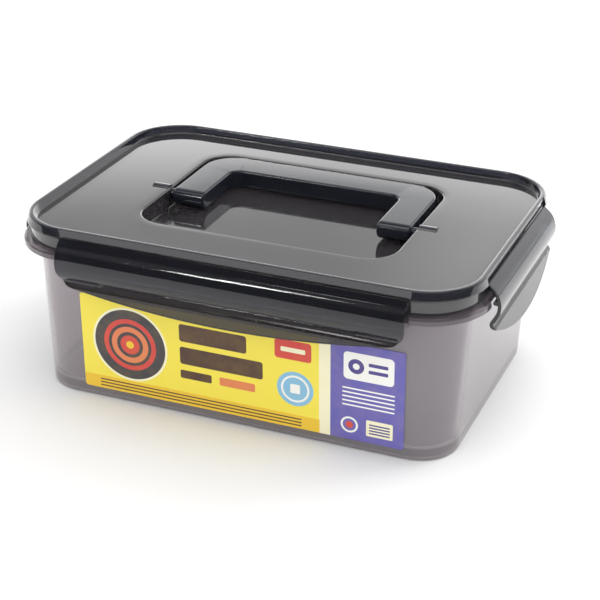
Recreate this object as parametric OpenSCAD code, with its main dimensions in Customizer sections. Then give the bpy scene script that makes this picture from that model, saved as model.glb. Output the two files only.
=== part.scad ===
// Two-litre kimchi container: a smoky tub with a clip-on lid, a carry handle that folds
// into a well in the lid, and four latches hinged along the lid's rim.
// X runs along the length, Y from front to back and Z up. The container stands on Z = 0
// with its middle over the origin, and its label faces -Y.

/* [Container] */
// Length over the lip of the lid
length = 224; // [200:1:300]
// Width over the lip of the lid
width = 156; // [144:1:220]
// Height from the table to the top of the lip
height = 88.5; // [80:0.5:160]
// Radius of the lip's outer corners
corner_r = 28; // [27:0.5:34]

/* [Tub] */
// Thickness of the tub's walls
tub_wall = 2; // [1.6:0.1:2.2]
// Thickness of the tub's floor
tub_floor = 2.2; // [1.8:0.1:3.5]
// How far the foot of the wall stands in from the lip of the lid
base_in = 8; // [6:0.5:11]
// How far the top of the wall stands in from the lip of the lid
wall_in = 4.7; // [4.5:0.1:5]
// Height of the foot ring
foot_h = 1.5; // [0.8:0.1:2.5]
// Width of the foot ring
foot_w = 3; // [2:0.1:5]
// Radius between the walls and the floor, inside
floor_fillet = 6; // [3:0.5:8]
// How far the flange stands out past the lip of the lid
flange_out = 4; // [3:0.1:5]
// Height of the flange's turned-down edge
flange_h = 3.5; // [2.5:0.1:5]
// Thickness of the flange
flange_t = 1.8; // [1.2:0.1:2.2]
// How far the flange still stands out past the lip along each latch
catch_out = 1; // [0.4:0.1:1.2]

/* [Lid] */
// Height of the lip over the lid's panel
lip_h = 4; // [2:0.1:5]
// Thickness of the lip
lip_t = 2.5; // [1.8:0.1:3.2]
// Thickness of the panel, the well and their walls
panel_t = 2; // [1.6:0.1:2.6]
// How far the rim flares out from the lip down to its step
flare = 1.2; // [0.8:0.1:1.8]
// Height from the step up to the top of the lip
flare_h = 4.2; // [4:0.1:4.8]
// Height from the lower edge of the skirt up to the top of the lip
skirt_h = 11.3; // [10.5:0.1:14]
// Thickness of the skirt
skirt_t = 1.9; // [1.5:0.1:2]
// How far the skirt stands in from the lip
skirt_in = 0.5; // [0.4:0.1:0.6]
// Depth of the plug wall that stands inside the tub's rim
plug_h = 5; // [3:0.1:7]
// Thickness of the plug wall
plug_t = 1.6; // [1.2:0.1:2.2]

/* [Seal] */
// Thickness of the seal with its bead
seal_h = 2.2; // [1.8:0.1:3]
// Thickness of the seal's flat web
seal_web = 1.2; // [0.8:0.1:1.4]

/* [Well] */
// Length of the handle's well
well_l = 128.6; // [110:0.2:140]
// Width of the well from front to back
well_w = 96.3; // [84:0.1:104]
// How far the middle of the well lies behind the middle of the lid
well_shift = 3.65; // [0:0.05:6]
// Corner radius of the well
well_r = 15; // [8:0.5:24]
// Depth of the well below the panel
well_depth = 8.4; // [8:0.1:10]
// Width of the broken edge round the well
well_edge = 0.8; // [0.3:0.1:1.4]

/* [Handle] */
// Gap between the well and each arm of the handle
handle_side_gap = 2.6; // [1:0.1:4]
// Gap between the well and the back of the grip
handle_back_gap = 2; // [1:0.1:4]
// Gap under the folded handle
handle_under_gap = 1.2; // [0.6:0.1:1.6]
// Thickness of the handle
handle_t = 8; // [6:0.1:9]
// Width of each arm
arm_w = 16.8; // [10:0.1:22]
// Width of the grip
grip_w = 18.1; // [12:0.1:24]
// Radius of the handle's outer corners
handle_r = 16; // [8:0.5:22]
// Radius of the handle's inner corners
handle_inner_r = 5.5; // [3:0.5:9]
// Width of the rounding along the handle's edges
handle_edge = 1.4; // [0.6:0.1:2]
// Thickness of the walls round the hollow under the handle
handle_shell = 2.4; // [1.8:0.1:3]
// Radius of the arms' ends round the pivot
arm_end_r = 5.1; // [4.6:0.1:5.6]
// How far the pivot lies in front of the middle of the lid
pivot_front = 0.5; // [-10:0.5:12]
// Diameter of the pivot pins
pin_d = 4.8; // [3:0.1:5.2]
// Length of the pivot pins beyond the well's walls
pin_reach = 7.6; // [5:0.1:12]
// Thickness of the boss wall round each pin
boss_wall = 1.4; // [1:0.1:2]

/* [Latches] */
// Distance from the start of a corner to the end of a long latch
long_setback = -0.8; // [-1:0.1:16]
// Distance from the start of a corner to the end of a short latch
short_setback = 0.5; // [-1:0.1:16]
// How far the long latches sit to the right of the middle of their side
long_shift = 0.9; // [0:0.1:1.2]
// Wall thickness of the latches
latch_wall = 1.7; // [1.3:0.1:1.7]
// Radius of the latches' round outer face
latch_face_r = 12; // [11.6:0.1:12.4]
// Inner radius of the crease below the face
crease_r = 1.5; // [1:0.1:2]
// Outer radius of the lip's shoulder
shoulder_r = 2; // [1.8:0.1:3]
// Lean of the finger lip in degrees
lip_lean = 13; // [6:0.5:16]
// Drop of the hinge below the top of the lip
hinge_drop = 4.9; // [4.6:0.1:5.2]
// Diameter of the hinge bead
hinge_d = 1.6; // [1.2:0.1:1.8]
// Drop of the long latches' lower edge at its ends
long_drop_end = 26.5; // [26.5:0.5:32]
// Drop of the long latches' lower edge in the middle
long_drop_mid = 32.1; // [29:0.1:40]
// Corner radius of the long latches
long_corner = 9; // [3:0.5:10]
// Drop of the short latches' lower edge at its ends
short_drop_end = 27; // [26:0.5:32]
// Drop of the short latches' lower edge in the middle
short_drop_mid = 36.5; // [30:0.5:44]
// Corner radius of the short latches
short_corner = 3; // [2:0.5:8]
// Length of the pad at each end of the finger recess
pad_l = 18.5; // [10:0.5:24]
// How far the ends of the long latches' finger recess slant
long_slant = 5; // [2:0.5:16]
// How far the ends of the short latches' finger recess slant
short_slant = 12; // [2:0.5:16]
// How far the catch bead stops short of each end of a latch
catch_end = 8; // [2:0.5:14]

/* [Label] */
// Length of the label
label_l = 162; // [80:1:162]
// Height of the label
label_h = 50.3; // [30:0.1:52]
// How far the label's left edge lies from the middle of the front
label_left = 78.3; // [60:0.1:80]
// Height of the label's lower edge above the table
label_z = 5.2; // [5:0.1:8]
// Thickness of the label
label_t = 0.2; // [0.1:0.05:0.4]

/* [Clearances] */
// Gap between the seal and the tub's rim, and between the skirt and the flange
seat_gap = 0.3; // [0.2:0.05:0.5]
// Gap round the seal in its channel
seal_gap = 0.05; // [0.02:0.01:0.2]
// Gap between the plug wall and the inside of the tub
plug_gap = 0.5; // [0.3:0.1:1]
// Gap round the hinge beads in their grooves
hinge_gap = 0.3; // [0.2:0.05:0.4]
// Gap between a latch's catch bead and the flange
catch_gap = 0.3; // [0.2:0.05:0.5]
// Gap at each end of a latch
latch_end_gap = 1; // [0.5:0.1:2]
// Gap round the handle's pins in their bores
pin_gap = 0.3; // [0.2:0.05:0.4]

/* [Hidden] */
$fn = 96;
past = 1;

// Every outline of the tub and the lid is this core rectangle grown by a distance r
core_x = length / 2 - corner_r;
core_y = width / 2 - corner_r;

panel_z = height - lip_h;
channel_z = panel_z - panel_t;
rim_z = channel_z - seal_h - seat_gap;
skirt_z = height - skirt_h;
flange_z = skirt_z - seat_gap;
flange_low_z = flange_z - flange_h;
step_z = height - flare_h;

base_r = corner_r - base_in;
wall_r = corner_r - wall_in;
flange_r = corner_r + flange_out;
skirt_r = corner_r - skirt_in;
lip_in_r = corner_r - lip_t;
plug_r = wall_r - tub_wall - plug_gap;
channel_r = skirt_r - skirt_t;

well_x = well_l / 2;
well_y = well_w / 2;
well_z = panel_z - well_depth;

arm_x = well_x - handle_side_gap;
grip_back = well_shift + well_y - handle_back_gap;
handle_z = well_z + handle_under_gap;
handle_top = handle_z + handle_t;
pivot_z = well_z + arm_end_r + pin_gap;
bore_r = pin_d / 2 + pin_gap;
bore_reach = pin_reach + pin_gap;

// Latch sections are drawn as distance out from the lip and height over its top
hinge = [0.6, -hinge_drop];
groove_r = hinge_d / 2 + hinge_gap;
face_mid = [-4.85, -14.9];
face_top_a = 44;
face_low_a = -40;
lap_a = 1.5;
ridge = polar(face_mid, latch_face_r, face_top_a);
ridge_in = polar(face_mid, latch_face_r - latch_wall, face_top_a);
crease_mid = polar(face_mid, latch_face_r + crease_r, face_low_a);
flare_a = -45;
flare_l = 0.6;
shoulder_mid = polar(polar(crease_mid, crease_r, flare_a - 90), flare_l, flare_a)
               - polar([0, 0], shoulder_r, flare_a + 90);
lip_low = -max(long_drop_mid, short_drop_mid) - past;
recess_r = 1.3;
recess_mid = [catch_out + catch_gap + latch_wall + recess_r, -22.4];
recess_out = 8;
recess_rise = 0.8;
recess_dip = 12;
bead_r = 1;
bead_under = 1.6;
bead_drop = height - flange_low_z + bead_under;
flush_in = 0.2;
long_half = core_x - long_setback;
short_half = core_y - short_setback;

// Broken edges of the sections, and the points in the middle of them
foot_edge = 1;
flange_edge = 0.8;
edge_mid = 0.3;
plug_edge = 0.5;
step_edge = 0.4;
lip_round = 0.8;
lip_mid = 0.23;
lip_root = 1;
root_mid = 0.5;
seal_foot = 1.2;
seal_tip = 0.6;

// Radius and set-in of the arc that rounds the handle's edges, as shares of their width
edge_round = 1.6;
edge_in = 1.515;

// Angles of the wall behind the finger recess, round its groove and along the face
groove_back = [100, 125, 150, 175, 200, 225];
face_back = [0, 12, 25];

wall_lean = atan((wall_r - base_r) / (flange_low_z - foot_h));

smoke = [0.22, 0.21, 0.23];
clear_smoke = [0.45, 0.41, 0.44];
handle_black = [0.16, 0.15, 0.17];
silicone = [0.75, 0.75, 0.73];
film_yellow = [0.93, 0.82, 0.2];

// Carries a section, drawn as distance out from the core and height, once round the core
module round_core(x, y) {
    for (k = [0:3])
        translate([k == 0 || k == 3 ? x : -x, k < 2 ? y : -y, 0])
            rotate(90 * k)
                rotate_extrude(angle = 90) children();
    for (turn = [0, 180])
        rotate(turn) {
            translate([-x, y, 0]) rotate([90, 0, 90]) linear_extrude(2 * x) children();
            translate([x, y, 0]) rotate([90, 0, 0]) linear_extrude(2 * y) children();
        }
}

module core_block(low, high) {
    translate([-core_x, -core_y, low]) cube([2 * core_x, 2 * core_y, high - low]);
}

// Rectangle of half sizes x and y with round corners
module round_rect(x, y, r) {
    square([2 * x, 2 * (y - r)], center = true);
    square([2 * (x - r), 2 * y], center = true);
    for (sx = [-1, 1], sy = [-1, 1])
        translate([sx * (x - r), sy * (y - r)]) circle(r);
}

// Draws its children on one of the four sides, X pointing out from the lip and Z from its top
module at_side(side) {
    short = side % 2 == 0;
    rotate(90 * side)
        translate([short ? length / 2 : width / 2, short ? 0 : long_shift, height]) children();
}

// Section of the tub from the middle of its floor to the flange
module tub_section() {
    inner_z = foot_h + tub_floor;
    difference() {
        polygon([[0, foot_h], [base_r - foot_w, foot_h], [base_r - foot_w, 0],
                 [base_r - foot_edge, 0], [base_r - edge_mid, foot_edge / 2], [base_r, foot_h],
                 [wall_r, flange_low_z], [wall_r, rim_z], [0, rim_z]]);
        polygon([[-past, inner_z + floor_fillet], [-past, inner_z],
                 [base_r - tub_wall - floor_fillet, inner_z],
                 [base_r - tub_wall - floor_fillet, inner_z + floor_fillet]]);
        translate([base_r - tub_wall - floor_fillet, inner_z + floor_fillet]) circle(floor_fillet);
        polygon([[-past, inner_z + floor_fillet], [base_r - tub_wall, inner_z + floor_fillet],
                 [wall_r - tub_wall, flange_low_z], [wall_r - tub_wall, rim_z + past],
                 [-past, rim_z + past]]);
    }
    polygon([[wall_r - tub_wall / 2, flange_z - flange_t], [flange_r - flange_t, flange_z - flange_t],
             [flange_r - flange_t, flange_low_z], [flange_r, flange_low_z],
             [flange_r, flange_z - flange_edge], [flange_r - edge_mid, flange_z - edge_mid],
             [flange_r - flange_edge, flange_z], [wall_r - tub_wall / 2, flange_z]]);
}

module tub() {
    color(clear_smoke) {
        difference() {
            union() {
                round_core(core_x, core_y) tub_section();
                core_block(foot_h, foot_h + tub_floor);
            }
            for (side = [0:3]) at_side(side) flange_notch(side % 2 == 0 ? short_half : long_half);
        }
        for (side = [0:3]) at_side(side) catch_rail(side % 2 == 0 ? short_half : long_half);
    }
}

// Takes the flange's outer edge away beside a latch
module flange_notch(half) {
    long = 2 * (half + latch_end_gap);
    translate([catch_out, -long / 2, flange_low_z - height - past])
        cube([flange_out + past, long, flange_h + 2 * past]);
}

// Straight edge under the flange that the latch's catch bead passes
module catch_rail(half) {
    long = 2 * (half + latch_end_gap);
    translate([catch_out - flange_t, -long / 2, flange_low_z - height])
        cube([flange_t, long, flange_h - flange_t / 2]);
}

// Section of the lid from the middle of its panel to the lip, the flare and the skirt
module lid_section() {
    polygon([[0, channel_z], [plug_r - plug_t, channel_z],
             [plug_r - plug_t, channel_z - plug_h], [plug_r - plug_edge, channel_z - plug_h],
             [plug_r, channel_z - plug_h + 2 * plug_edge], [plug_r, channel_z],
             [channel_r, channel_z], [channel_r, skirt_z], [skirt_r, skirt_z],
             [skirt_r, step_z - flare], [corner_r + flare - edge_mid, step_z - step_edge],
             [corner_r + flare, step_z],
             [corner_r, height - lip_round], [corner_r - lip_mid, height - lip_mid],
             [corner_r - lip_round, height], [lip_in_r + lip_round, height],
             [lip_in_r + lip_mid, height - lip_mid], [lip_in_r, height - lip_round],
             [lip_in_r - root_mid, panel_z + root_mid], [lip_in_r - lip_root, panel_z], [0, panel_z]]);
}

module well_outline(grow) {
    translate([0, well_shift]) round_rect(well_x + grow, well_y + grow, well_r + grow);
}

module lid() {
    color(smoke) difference() {
        union() {
            round_core(core_x, core_y) lid_section();
            core_block(channel_z, panel_z);
            translate([0, 0, well_z - panel_t]) linear_extrude(panel_z - well_z + panel_t)
                well_outline(panel_t);
            for (side = [-1, 1]) pivot_boss(side);
        }
        translate([0, 0, well_z]) linear_extrude(height) well_outline(0);
        well_edge_cut();
        for (side = [-1, 1]) pivot_bore(side);
        for (side = [0:3]) at_side(side) hinge_seat(side % 2 == 0 ? short_half : long_half);
    }
}

// Breaks the edge where the panel meets the well
module well_edge_cut() {
    translate([0, well_shift, 0]) round_core(well_x - well_r, well_y - well_r)
        polygon([[well_r - past, panel_z - well_edge - past], [well_r + well_edge + past, panel_z + past],
                 [well_r - past, panel_z + past]]);
}

module pivot_boss(side) {
    translate([side * (well_x + bore_reach + boss_wall), -pivot_front, pivot_z])
        rotate([0, -90 * side, 0]) cylinder(r = bore_r + boss_wall, h = bore_reach + boss_wall);
}

module pivot_bore(side) {
    translate([side * (well_x + bore_reach), -pivot_front, pivot_z])
        rotate([0, -90 * side, 0]) cylinder(r = bore_r, h = bore_reach + past);
}

// Flush face and groove along the lid's rim for one hinge bead
module hinge_seat(half) {
    long = 2 * (half + latch_end_gap);
    translate([-flush_in, -long / 2, -hinge_drop]) cube([flare + past, long, hinge_drop + past]);
    translate([hinge.x, long / 2, hinge.y]) rotate([90, 0, 0]) cylinder(r = groove_r, h = long);
}

// Soft ring in the lid's channel, its bead over the tub's rim
module seal() {
    inner = plug_r + seal_gap;
    outer = channel_r - seal_gap;
    middle = wall_r - tub_wall / 2;
    color(silicone) round_core(core_x, core_y)
        polygon([[inner, channel_z], [inner, channel_z - seal_web],
                 [middle - seal_foot, channel_z - seal_web], [middle - seal_tip, channel_z - seal_h],
                 [middle + seal_tip, channel_z - seal_h], [middle + seal_foot, channel_z - seal_web],
                 [outer, channel_z - seal_web], [outer, channel_z]]);
}

// Outline of the handle from above, shrunk by a wall
module handle_outline(wall) {
    back = grip_back - wall;
    front = -pivot_front - arm_end_r - past;
    inner_back = grip_back - grip_w + wall;
    difference() {
        translate([0, (back + front) / 2 - handle_r / 2])
            round_rect(arm_x - wall, (back - front + handle_r) / 2, handle_r - wall);
        translate([0, (inner_back + front) / 2 - handle_r])
            round_rect(arm_x - arm_w + wall, (inner_back - front) / 2 + handle_r, handle_inner_r);
    }
}

module handle() {
    color(handle_black) {
        difference() {
            intersection() {
                translate([0, 0, handle_z]) linear_extrude(handle_t) handle_outline(0);
                arm_side();
            }
            handle_edges();
            handle_hollow();
        }
        for (side = [-1, 1])
            translate([side * (arm_x - handle_shell), -pivot_front, pivot_z])
                rotate([0, 90 * side, 0])
                    cylinder(d = pin_d, h = handle_shell + handle_side_gap + pin_reach);
    }
}

// Side view of the handle, with its arms' ends round about the pivot
module arm_side() {
    translate([arm_x + past, -pivot_front, pivot_z]) rotate([90, 0, -90])
        linear_extrude(2 * (arm_x + past)) {
            circle(arm_end_r);
            translate([-(grip_back + pivot_front + past), -arm_end_r])
                square([grip_back + pivot_front + past, handle_top - pivot_z + arm_end_r]);
        }
}

// Rounds the handle's upper edges, outside and inside
module handle_edges() {
    back = grip_back;
    front = -pivot_front - arm_end_r - 4 * handle_r;
    inner_back = grip_back - grip_w;
    translate([0, (back + front) / 2, 0])
        round_core(arm_x - handle_r, (back - front) / 2 - handle_r) edge_cut(handle_r, 1);
    translate([0, (inner_back + front) / 2, 0])
        round_core(arm_x - arm_w - handle_inner_r, (inner_back - front) / 2 - handle_inner_r)
            edge_cut(handle_inner_r, -1);
}

// Section that rounds an upper edge at distance r, the solid lying inward where way is 1
module edge_cut(r, way) {
    bulge = edge_in * handle_edge;
    difference() {
        translate([r - (way == 1 ? handle_edge : past), handle_top - handle_edge])
            square([handle_edge + past, handle_edge + past]);
        translate([r - way * bulge, handle_top - bulge]) circle(edge_round * handle_edge);
    }
}

// Hollow under the grip and the arms, which ends before the pivot
module handle_hollow() {
    roof = handle_top - handle_shell;
    translate([0, 0, handle_z - past]) linear_extrude(roof - handle_z + past)
        intersection() {
            handle_outline(handle_shell);
            translate([-arm_x, arm_end_r]) square([2 * arm_x, grip_back]);
        }
}

// The point at a distance and an angle from another
function polar(from, r, a) = from + r * [cos(a), sin(a)];

// Where the line from a point touches a circle
function touch(middle, r, point, way) =
    let (away = point - middle, a = atan2(away.y, away.x) + way * acos(r / norm(away)))
    polar(middle, r, a);

// Part of a ring between two angles less than half a turn apart
module ring_part(middle, outer, inner, from_a, to_a) {
    translate(middle) intersection() {
        difference() {
            circle(outer);
            circle(inner);
        }
        polygon([[0, 0], polar([0, 0], 2 * outer, from_a), polar([0, 0], 3 * outer, (from_a + to_a) / 2),
                 polar([0, 0], 2 * outer, to_a)]);
    }
}

// Section of a latch from its hinge bead down the face, the crease and the shoulder to the lip
module latch_section() {
    wall = latch_wall;
    translate(hinge) circle(d = hinge_d, $fn = 48);
    polygon([hinge, touch(hinge, hinge_d / 2, ridge, 1), ridge, ridge_in,
             touch(hinge, hinge_d / 2, ridge_in, -1)]);
    ring_part(face_mid, latch_face_r, latch_face_r - wall, face_low_a - lap_a, face_top_a + lap_a);
    ring_part(crease_mid, crease_r + wall, crease_r, 180 + face_low_a, 270 + flare_a + lap_a);
    flare = polar(crease_mid, crease_r, flare_a - 90);
    flare_end = polar(flare, flare_l, flare_a);
    polygon([flare, flare_end, polar(flare_end, -wall, flare_a + 90), polar(flare, -wall, flare_a + 90)]);
    ring_part(shoulder_mid, shoulder_r, shoulder_r - wall, lip_lean - lap_a, flare_a + 90 + lap_a);
    top = polar(shoulder_mid, shoulder_r, lip_lean);
    run = (top.y - lip_low) * tan(lip_lean);
    polygon([top, [top.x + run, lip_low], [top.x + run - wall / cos(lip_lean), lip_low],
             polar(top, -wall, lip_lean)]);
}

// Bead inside the latch that clips in below the flange
module catch_section() {
    tip = catch_out + catch_gap + bead_r;
    root = face_mid.x + sqrt(pow(latch_face_r - latch_wall / 2, 2) - pow(bead_drop + face_mid.y, 2));
    translate([tip, -bead_drop]) circle(bead_r, $fn = 48);
    translate([tip, -bead_drop - bead_r]) square([root - tip, 2 * bead_r]);
}

// Section of the finger recess between the face and the shoulder
module recess_section() {
    low = polar(shoulder_mid, shoulder_r, flare_a + 90 - recess_dip);
    translate(recess_mid) circle(recess_r);
    polygon([recess_mid + [0, recess_r], [recess_out, recess_mid.y + recess_r + recess_rise],
             [recess_out, low.y], low, touch(recess_mid, recess_r, low, -1), recess_mid]);
}

// Section of the wall that closes the latch behind its finger recess
module recess_back() {
    mid = latch_wall / 2;
    polygon(concat([for (a = groove_back) polar(recess_mid, recess_r + latch_wall, a)],
                   [polar(shoulder_mid, shoulder_r - mid, lip_lean),
                    polar(crease_mid, crease_r + mid, 270 + flare_a),
                    polar(crease_mid, crease_r + mid, 180)],
                   [for (a = face_back) polar(face_mid, latch_face_r - mid, face_low_a + a)]));
}

module along_rim(half) {
    translate([0, half, 0]) rotate([90, 0, 0]) linear_extrude(2 * half) children();
}

// Finger recess, its ends slanting from the face in to its depth
module recess(half, slant) {
    deepest = recess_mid.x - recess_r;
    intersection() {
        along_rim(half) recess_section();
        translate([0, 0, 2 * recess_mid.y]) linear_extrude(-2 * recess_mid.y)
            polygon([[deepest, slant - half], [recess_out, -half], [recess_out, half],
                     [deepest, half - slant]]);
    }
}

// Lower outline of a latch seen from outside, its edge a shallow arc
module latch_outline(half, drop_end, drop_mid, corner) {
    rise = drop_mid - drop_end;
    flat = half - corner;
    arc_r = (flat * flat + rise * rise) / (2 * rise);
    intersection() {
        translate([-flat, -drop_mid]) square([2 * flat, drop_mid]);
        translate([0, arc_r - drop_mid]) circle(arc_r, $fn = 720);
    }
    translate([-half, corner - drop_end]) square([2 * half, drop_end - corner]);
    for (s = [-1, 1]) translate([s * flat, corner - drop_end]) circle(corner);
}

// One latch with its hinge bead, round face, catch bead, finger recess and lip
module latch(half, drop_end, drop_mid, corner, slant) {
    intersection() {
        difference() {
            union() {
                along_rim(half) latch_section();
                along_rim(half - catch_end) catch_section();
                along_rim(half - pad_l) recess_back();
            }
            recess(half - pad_l, slant);
        }
        translate([-past - hinge_d, 0, 0]) rotate([90, 0, 90]) linear_extrude(2 * latch_face_r)
            latch_outline(half, drop_end, drop_mid, corner);
    }
}

module latch_front() {
    color(smoke) at_side(3) latch(long_half, long_drop_end, long_drop_mid, long_corner, long_slant);
}

module latch_back() {
    color(smoke) at_side(1) latch(long_half, long_drop_end, long_drop_mid, long_corner, long_slant);
}

module latch_left() {
    color(smoke) at_side(2) latch(short_half, short_drop_end, short_drop_mid, short_corner, short_slant);
}

module latch_right() {
    color(smoke) at_side(0) latch(short_half, short_drop_end, short_drop_mid, short_corner, short_slant);
}

// Printed film on the front wall, which leans back with it
module label() {
    color(film_yellow)
        translate([-label_left, -core_y - base_r, foot_h]) rotate([wall_lean, 0, 0])
            translate([0, -label_t, label_z - foot_h]) cube([label_l, label_t, label_h]);
}

tub();
label();
lid();
seal();
handle();
latch_front();
latch_back();
latch_left();
latch_right();
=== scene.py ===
from math import atan2, cos, pi, radians, sin, sqrt, tan

import bpy
from mathutils import Matrix, Vector


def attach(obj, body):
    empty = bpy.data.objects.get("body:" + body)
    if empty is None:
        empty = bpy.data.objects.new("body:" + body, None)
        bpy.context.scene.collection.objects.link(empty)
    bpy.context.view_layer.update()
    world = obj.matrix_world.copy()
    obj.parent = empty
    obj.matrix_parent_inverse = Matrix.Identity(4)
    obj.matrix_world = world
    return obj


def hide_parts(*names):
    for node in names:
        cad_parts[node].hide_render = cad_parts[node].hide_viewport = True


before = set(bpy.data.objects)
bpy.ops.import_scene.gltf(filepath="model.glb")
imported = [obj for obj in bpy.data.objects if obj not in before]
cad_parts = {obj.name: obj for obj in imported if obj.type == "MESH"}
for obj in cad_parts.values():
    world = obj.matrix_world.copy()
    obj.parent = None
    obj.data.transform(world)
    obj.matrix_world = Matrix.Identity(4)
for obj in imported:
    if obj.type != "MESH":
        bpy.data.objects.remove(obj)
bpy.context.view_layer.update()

mm = 0.001
weld = 0.00001  # points closer than this are merged, in metres
near = 0.05  # points closer than this to a line or a level are taken to be on it, in millimetres
scene = bpy.context.scene
print("frame loaded, nodes:", sorted(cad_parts))


# The outlines of the tub and the lid are one core rectangle, by its half lengths, grown by a distance;
# lip is that distance at the top of the lid
core = {"x": 84, "y": 50, "lip": 28}
# the same for the handle's well, whose core lies back by shift and grows by r
wellCore = {"x": 49.3, "y": 33.15, "shift": 3.65, "r": 15}
# each side's turn in degrees and its latch's half length, and how far that latch lies off the middle
sides = {"right": (0, 49.5), "back": (90, 84.8), "left": (180, 49.5), "front": (270, 84.8)}
sideShift = {"right": 0, "back": 0.9, "left": 0, "front": 0.9}


def deselectAll():
    if bpy.context.object and bpy.context.object.mode != "OBJECT":
        bpy.ops.object.mode_set(mode="OBJECT")
    bpy.ops.object.select_all(action="DESELECT")


def makeActive(piece):
    deselectAll()
    piece.select_set(True)
    bpy.context.view_layer.objects.active = piece


def editMode(kind):
    bpy.ops.object.mode_set(mode="EDIT")
    bpy.ops.mesh.select_mode(type=kind)
    bpy.ops.mesh.select_all(action="DESELECT")


def pick(piece, kind, test):
    # selects the vertices, edges or faces whose every corner passes the test, which reads millimetres
    bpy.ops.object.mode_set(mode="OBJECT")
    mesh = piece.data
    good = [test(v.co / mm) for v in mesh.vertices]
    for part in (mesh.vertices, mesh.edges, mesh.polygons):
        for item in part:
            item.select = False
    chosen = {"VERT": mesh.vertices, "EDGE": mesh.edges, "FACE": mesh.polygons}[kind]
    for item in chosen:
        corners = [item.index] if kind == "VERT" else item.vertices
        item.select = all(good[i] for i in corners)
    bpy.ops.object.mode_set(mode="EDIT")
    bpy.ops.mesh.select_mode(type=kind)


def settle(piece):
    # the finished piece stands at the origin, with its place in its mesh
    makeActive(piece)
    bpy.ops.object.transform_apply(location=True, rotation=True, scale=True)


def roundCorners(corners, steps=4, closed=True):
    # corners are (across, up, radius); each becomes an arc that touches both neighbours
    points = []
    count = len(corners)
    for i, (x, z, radius) in enumerate(corners):
        here = Vector((x, z))
        if radius == 0 or (not closed and i in (0, count - 1)):
            points.append(here)
            continue
        before = (Vector(corners[i - 1][:2]) - here).normalized()
        after = (Vector(corners[(i + 1) % count][:2]) - here).normalized()
        half = before.angle(after) / 2
        middle = here + (before + after).normalized() * (radius / sin(half))
        first = here + before * (radius / tan(half)) - middle
        turn = first.angle_signed(here + after * (radius / tan(half)) - middle)
        for k in range(steps + 1):
            a = -turn * k / steps
            spoke = Vector((first.x * cos(a) - first.y * sin(a), first.x * sin(a) + first.y * cos(a)))
            points.append(middle + spoke)
    return points


def drawLine(name, points, closed):
    # one vertex, pulled out point by point as a line; points are in millimetres
    deselectAll()
    points = [Vector(p) * mm for p in points]
    bpy.ops.mesh.primitive_plane_add(size=mm, location=points[0])
    piece = bpy.context.object
    piece.name = piece.data.name = name
    bpy.ops.object.mode_set(mode="EDIT")
    bpy.ops.mesh.select_mode(type="VERT")
    bpy.ops.mesh.select_all(action="SELECT")
    bpy.ops.mesh.merge(type="CENTER")
    for before, after in zip(points, points[1:]):
        bpy.ops.mesh.extrude_region_move(TRANSFORM_OT_translate={"value": after - before})
    bpy.ops.mesh.select_all(action="SELECT")
    if closed:
        bpy.ops.mesh.edge_face_add()
    bpy.ops.object.mode_set(mode="OBJECT")
    settle(piece)
    return piece


def carryRound(name, section, coreX, coreY, shift=0, steps=14):
    # carries an open section, (distance out, height), once round a core rectangle
    piece = drawLine(name, [(coreX + r, shift - coreY, z) for r, z in section], False)
    editMode("VERT")
    bpy.ops.mesh.select_all(action="SELECT")
    runs = [((0, 2 * coreY, 0), (coreX, coreY)), ((-2 * coreX, 0, 0), (-coreX, coreY)),
            ((0, -2 * coreY, 0), (-coreX, -coreY)), ((2 * coreX, 0, 0), (coreX, -coreY))]
    for step, (x, y) in runs:
        bpy.ops.mesh.extrude_region_move(TRANSFORM_OT_translate={"value": Vector(step) * mm})
        bpy.ops.mesh.spin(steps=steps, angle=pi / 2, axis=(0, 0, -1),
                          center=(x * mm, (y + shift) * mm, 0))
    bpy.ops.mesh.select_all(action="SELECT")
    bpy.ops.mesh.remove_doubles(threshold=weld)
    bpy.ops.object.mode_set(mode="OBJECT")
    return piece


def joinPieces(main, *others):
    makeActive(main)
    for other in others:
        other.select_set(True)
    bpy.ops.object.join()
    return main


def cutWith(piece, cutter, operation):
    makeActive(piece)
    cut = piece.modifiers.new("cut", "BOOLEAN")
    cut.operation = operation
    cut.solver = "EXACT"
    cut.object = cutter
    bpy.ops.object.modifier_apply(modifier=cut.name)
    bpy.data.objects.remove(cutter)


def block(low, high):
    # a plain cutting block between two corners
    deselectAll()
    low, high = Vector(low) * mm, Vector(high) * mm
    bpy.ops.mesh.primitive_cube_add(size=1, location=(low + high) / 2)
    cutter = bpy.context.object
    cutter.scale = high - low
    settle(cutter)
    return cutter


def rod(radius, start, end, vertices=48):
    # a round cutter or boss between two points
    deselectAll()
    start, end = Vector(start) * mm, Vector(end) * mm
    bpy.ops.mesh.primitive_cylinder_add(radius=radius * mm, depth=(end - start).length,
                                        vertices=vertices, location=(start + end) / 2)
    piece = bpy.context.object
    piece.rotation_euler = (end - start).to_track_quat("Z", "Y").to_euler()
    settle(piece)
    return piece


def turnToSide(piece, side):
    # from the side's own place, X out from the lip, to its place on the lid
    reach = core["lip"] + (core["x"] if side in ("left", "right") else core["y"])
    height = shell["height"]
    piece.matrix_world = (Matrix.Rotation(radians(sides[side][0]), 4, "Z")
                          @ Matrix.Translation(Vector((reach, sideShift[side], height)) * mm))
    settle(piece)
    return piece


def insideOut(mesh):
    # whether the mesh's signed volume is negative
    mesh.calc_loop_triangles()
    corners = [[mesh.vertices[i].co for i in part.vertices] for part in mesh.loop_triangles]
    return sum(a.dot(b.cross(c)) for a, b, c in corners) < 0


def cleanMesh(piece):
    makeActive(piece)
    editMode("VERT")
    bpy.ops.mesh.select_all(action="SELECT")
    bpy.ops.mesh.remove_doubles(threshold=weld)
    bpy.ops.mesh.normals_make_consistent(inside=False)
    bpy.ops.object.mode_set(mode="OBJECT")
    if insideOut(piece.data):
        editMode("FACE")
        bpy.ops.mesh.select_all(action="SELECT")
        bpy.ops.mesh.flip_normals()
        bpy.ops.object.mode_set(mode="OBJECT")


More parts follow.
